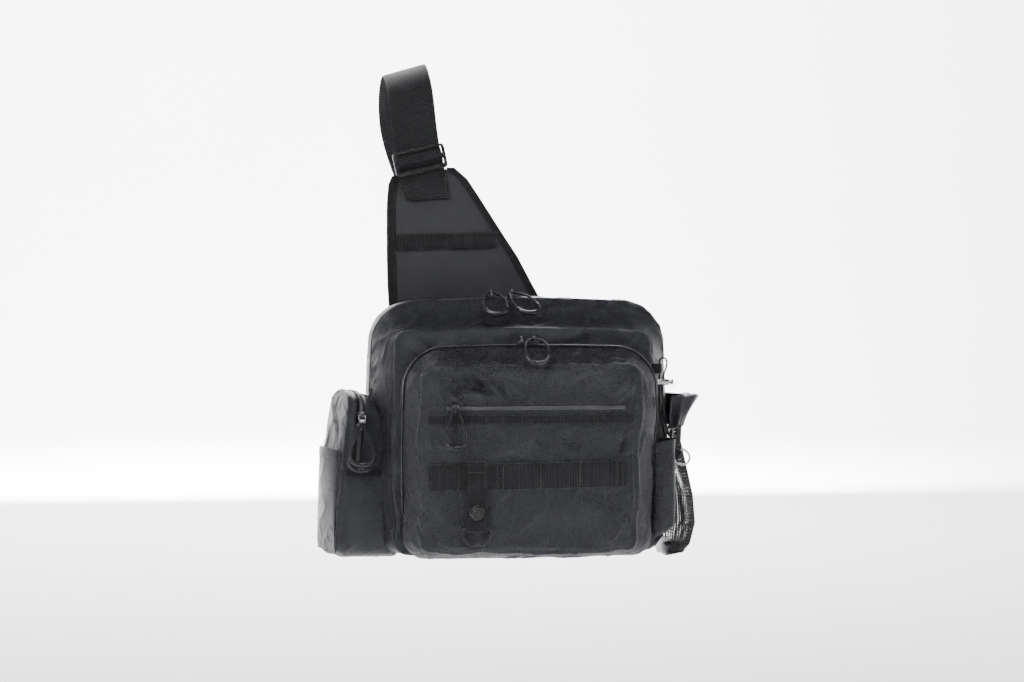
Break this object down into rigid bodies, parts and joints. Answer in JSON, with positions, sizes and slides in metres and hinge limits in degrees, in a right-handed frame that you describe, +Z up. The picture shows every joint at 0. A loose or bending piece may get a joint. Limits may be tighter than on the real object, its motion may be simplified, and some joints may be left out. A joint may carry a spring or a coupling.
{
  "type": "tackle sling bag",
  "caption": "Black one-shoulder fishing tackle sling bag with padded shoulder panel, steel three-bar buckle, zipped front and side pockets, net bottle pocket and hanging rings.",
  "frame": {"origin": "under the strap where it crosses the wearer's left shoulder", "axes": "+Z up, +Y towards the wearer's chest, from the bag into the back; +X to the right seen from behind"},
  "size_m": [0.4089, 0.3931, 0.5225],
  "materials": {
    "body_cloth": "dark grey coated nylon, satin",
    "pocket_cloth": "dark grey fine ripstop nylon, satin",
    "webbing": "black ribbed webbing, matt",
    "zip_tape": "black woven zip tape and coil",
    "binding": "black grosgrain tape, matt",
    "net": "black open net",
    "cord": "black braided cord",
    "grip": "black moulded grip, semi gloss",
    "dark_metal": "gunmetal",
    "bright_metal": "silver plated"
  },
  "bodies": {
    "bag": {"main_body": "body_cloth", "main_zip": "zip_tape", "front_pocket": "pocket_cloth", "front_pocket_zip": "zip_tape", "panel_zip": "zip_tape", "zip_facing": "webbing", "ladder_webbing": "webbing", "ring_strap": "webbing", "press_stud": "dark_metal", "main_left_slider": "dark_metal", "main_left_pull_cord": "cord", "main_left_pull_grip": "grip", "main_right_slider": "dark_metal", "main_right_pull_cord": "cord", "main_right_pull_grip": "grip", "side_pocket": "body_cloth", "side_zip": "zip_tape", "front_pocket_slider": "dark_metal", "front_pocket_pull_cord": "cord", "front_pocket_pull_grip": "grip", "front_pocket_spare_slider": "dark_metal", "panel_slider": "dark_metal", "panel_pull_cord": "cord", "panel_pull_grip": "grip", "side_upper_slider": "dark_metal", "side_lower_slider": "dark_metal", "side_lower_pull_cord": "cord", "side_lower_pull_grip": "grip", "side_ferrule": "bright_metal", "side_upper_pull_cord": "cord", "side_upper_pull_grip": "grip", "slip_pocket": "pocket_cloth", "side_zip_end": "webbing", "bottle_collar": "body_cloth", "tool_sheath": "pocket_cloth", "bottle_net": "net", "drawcord": "cord", "cord_lock": "bright_metal", "cord_tab": "webbing", "side_ring_tab": "webbing", "shoulder_panel": "body_cloth", "panel_binding_left": "binding", "panel_binding_right": "binding", "panel_band": "webbing", "tri_glide": "bright_metal", "shoulder_strap": "webbing", "strap_anchor": "body_cloth"},
    "front_d_ring": {"d_ring": "dark_metal"},
    "side_drop_ring": {"side_ring": "bright_metal"},
    "lock_plunger": {"lock_button": "bright_metal"}
  },
  "joints": [
    {"name": "front_ring_swing", "type": "hinge", "parent": "bag", "child": "front_d_ring", "pos_m": [0.061, -0.22381, -0.473], "axis": [-1, 0, 0], "range_deg": [0, 80]},
    {"name": "side_ring_swing", "type": "hinge", "parent": "bag", "child": "side_drop_ring", "pos_m": [0.281, -0.156, -0.405], "axis": [-0.4899, 0, -0.8718], "range_deg": [0, 40]},
    {"name": "lock_plunger_press", "type": "slide", "parent": "bag", "child": "lock_plunger", "axis": [-1, 0, 0], "range_m": [0, 0.002], "stiffness_N_per_m": 400}
  ]
}
